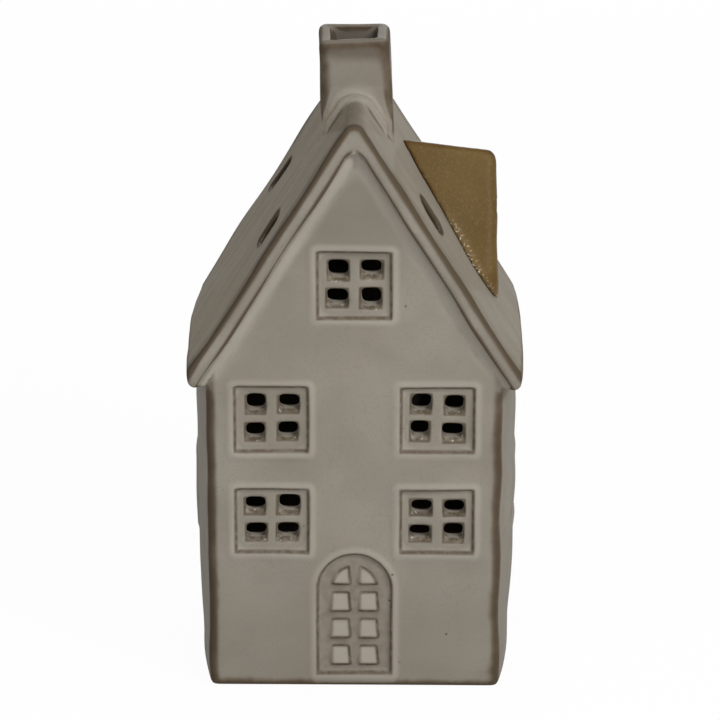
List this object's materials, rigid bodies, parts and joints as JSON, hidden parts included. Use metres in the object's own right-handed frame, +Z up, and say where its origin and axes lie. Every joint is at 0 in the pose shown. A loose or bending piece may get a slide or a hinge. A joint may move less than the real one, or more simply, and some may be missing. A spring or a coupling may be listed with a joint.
{
  "type": "tealight house",
  "caption": "Tall gabled ceramic house that shades a loose tealight, with pierced windows, a relief door, a dormer, an open chimney and an arch at the back.",
  "frame": {"origin": "on the ground, under the middle of the house", "axes": "+Z up, -Y towards the front door, +X towards the dormer's side"},
  "size_m": [0.1084, 0.086, 0.21],
  "materials": {
    "grey_glaze": "gloss",
    "ochre_glaze": "satin",
    "bare_clay": "matte",
    "cup_aluminium": "satin",
    "white_wax": "satin",
    "wick_cotton": "matte",
    "tab_steel": "satin"
  },
  "bodies": {
    "house": {"front_wall": "grey_glaze", "back_wall": "grey_glaze", "left_wall": "grey_glaze", "right_wall": "grey_glaze", "floor_slab": "bare_clay", "left_roof": "grey_glaze", "right_roof": "grey_glaze", "chimney": "grey_glaze", "dormer": "ochre_glaze"},
    "tealight": {"tealight_cup": "cup_aluminium", "tealight_wax": "white_wax", "tealight_wick": "wick_cotton", "wick_tab": "tab_steel"}
  },
  "joints": [
    {"name": "tealight_slide", "type": "slide", "parent": "house", "child": "tealight", "axis": [0, 1, 0], "range_m": [0, 0.09]}
  ]
}
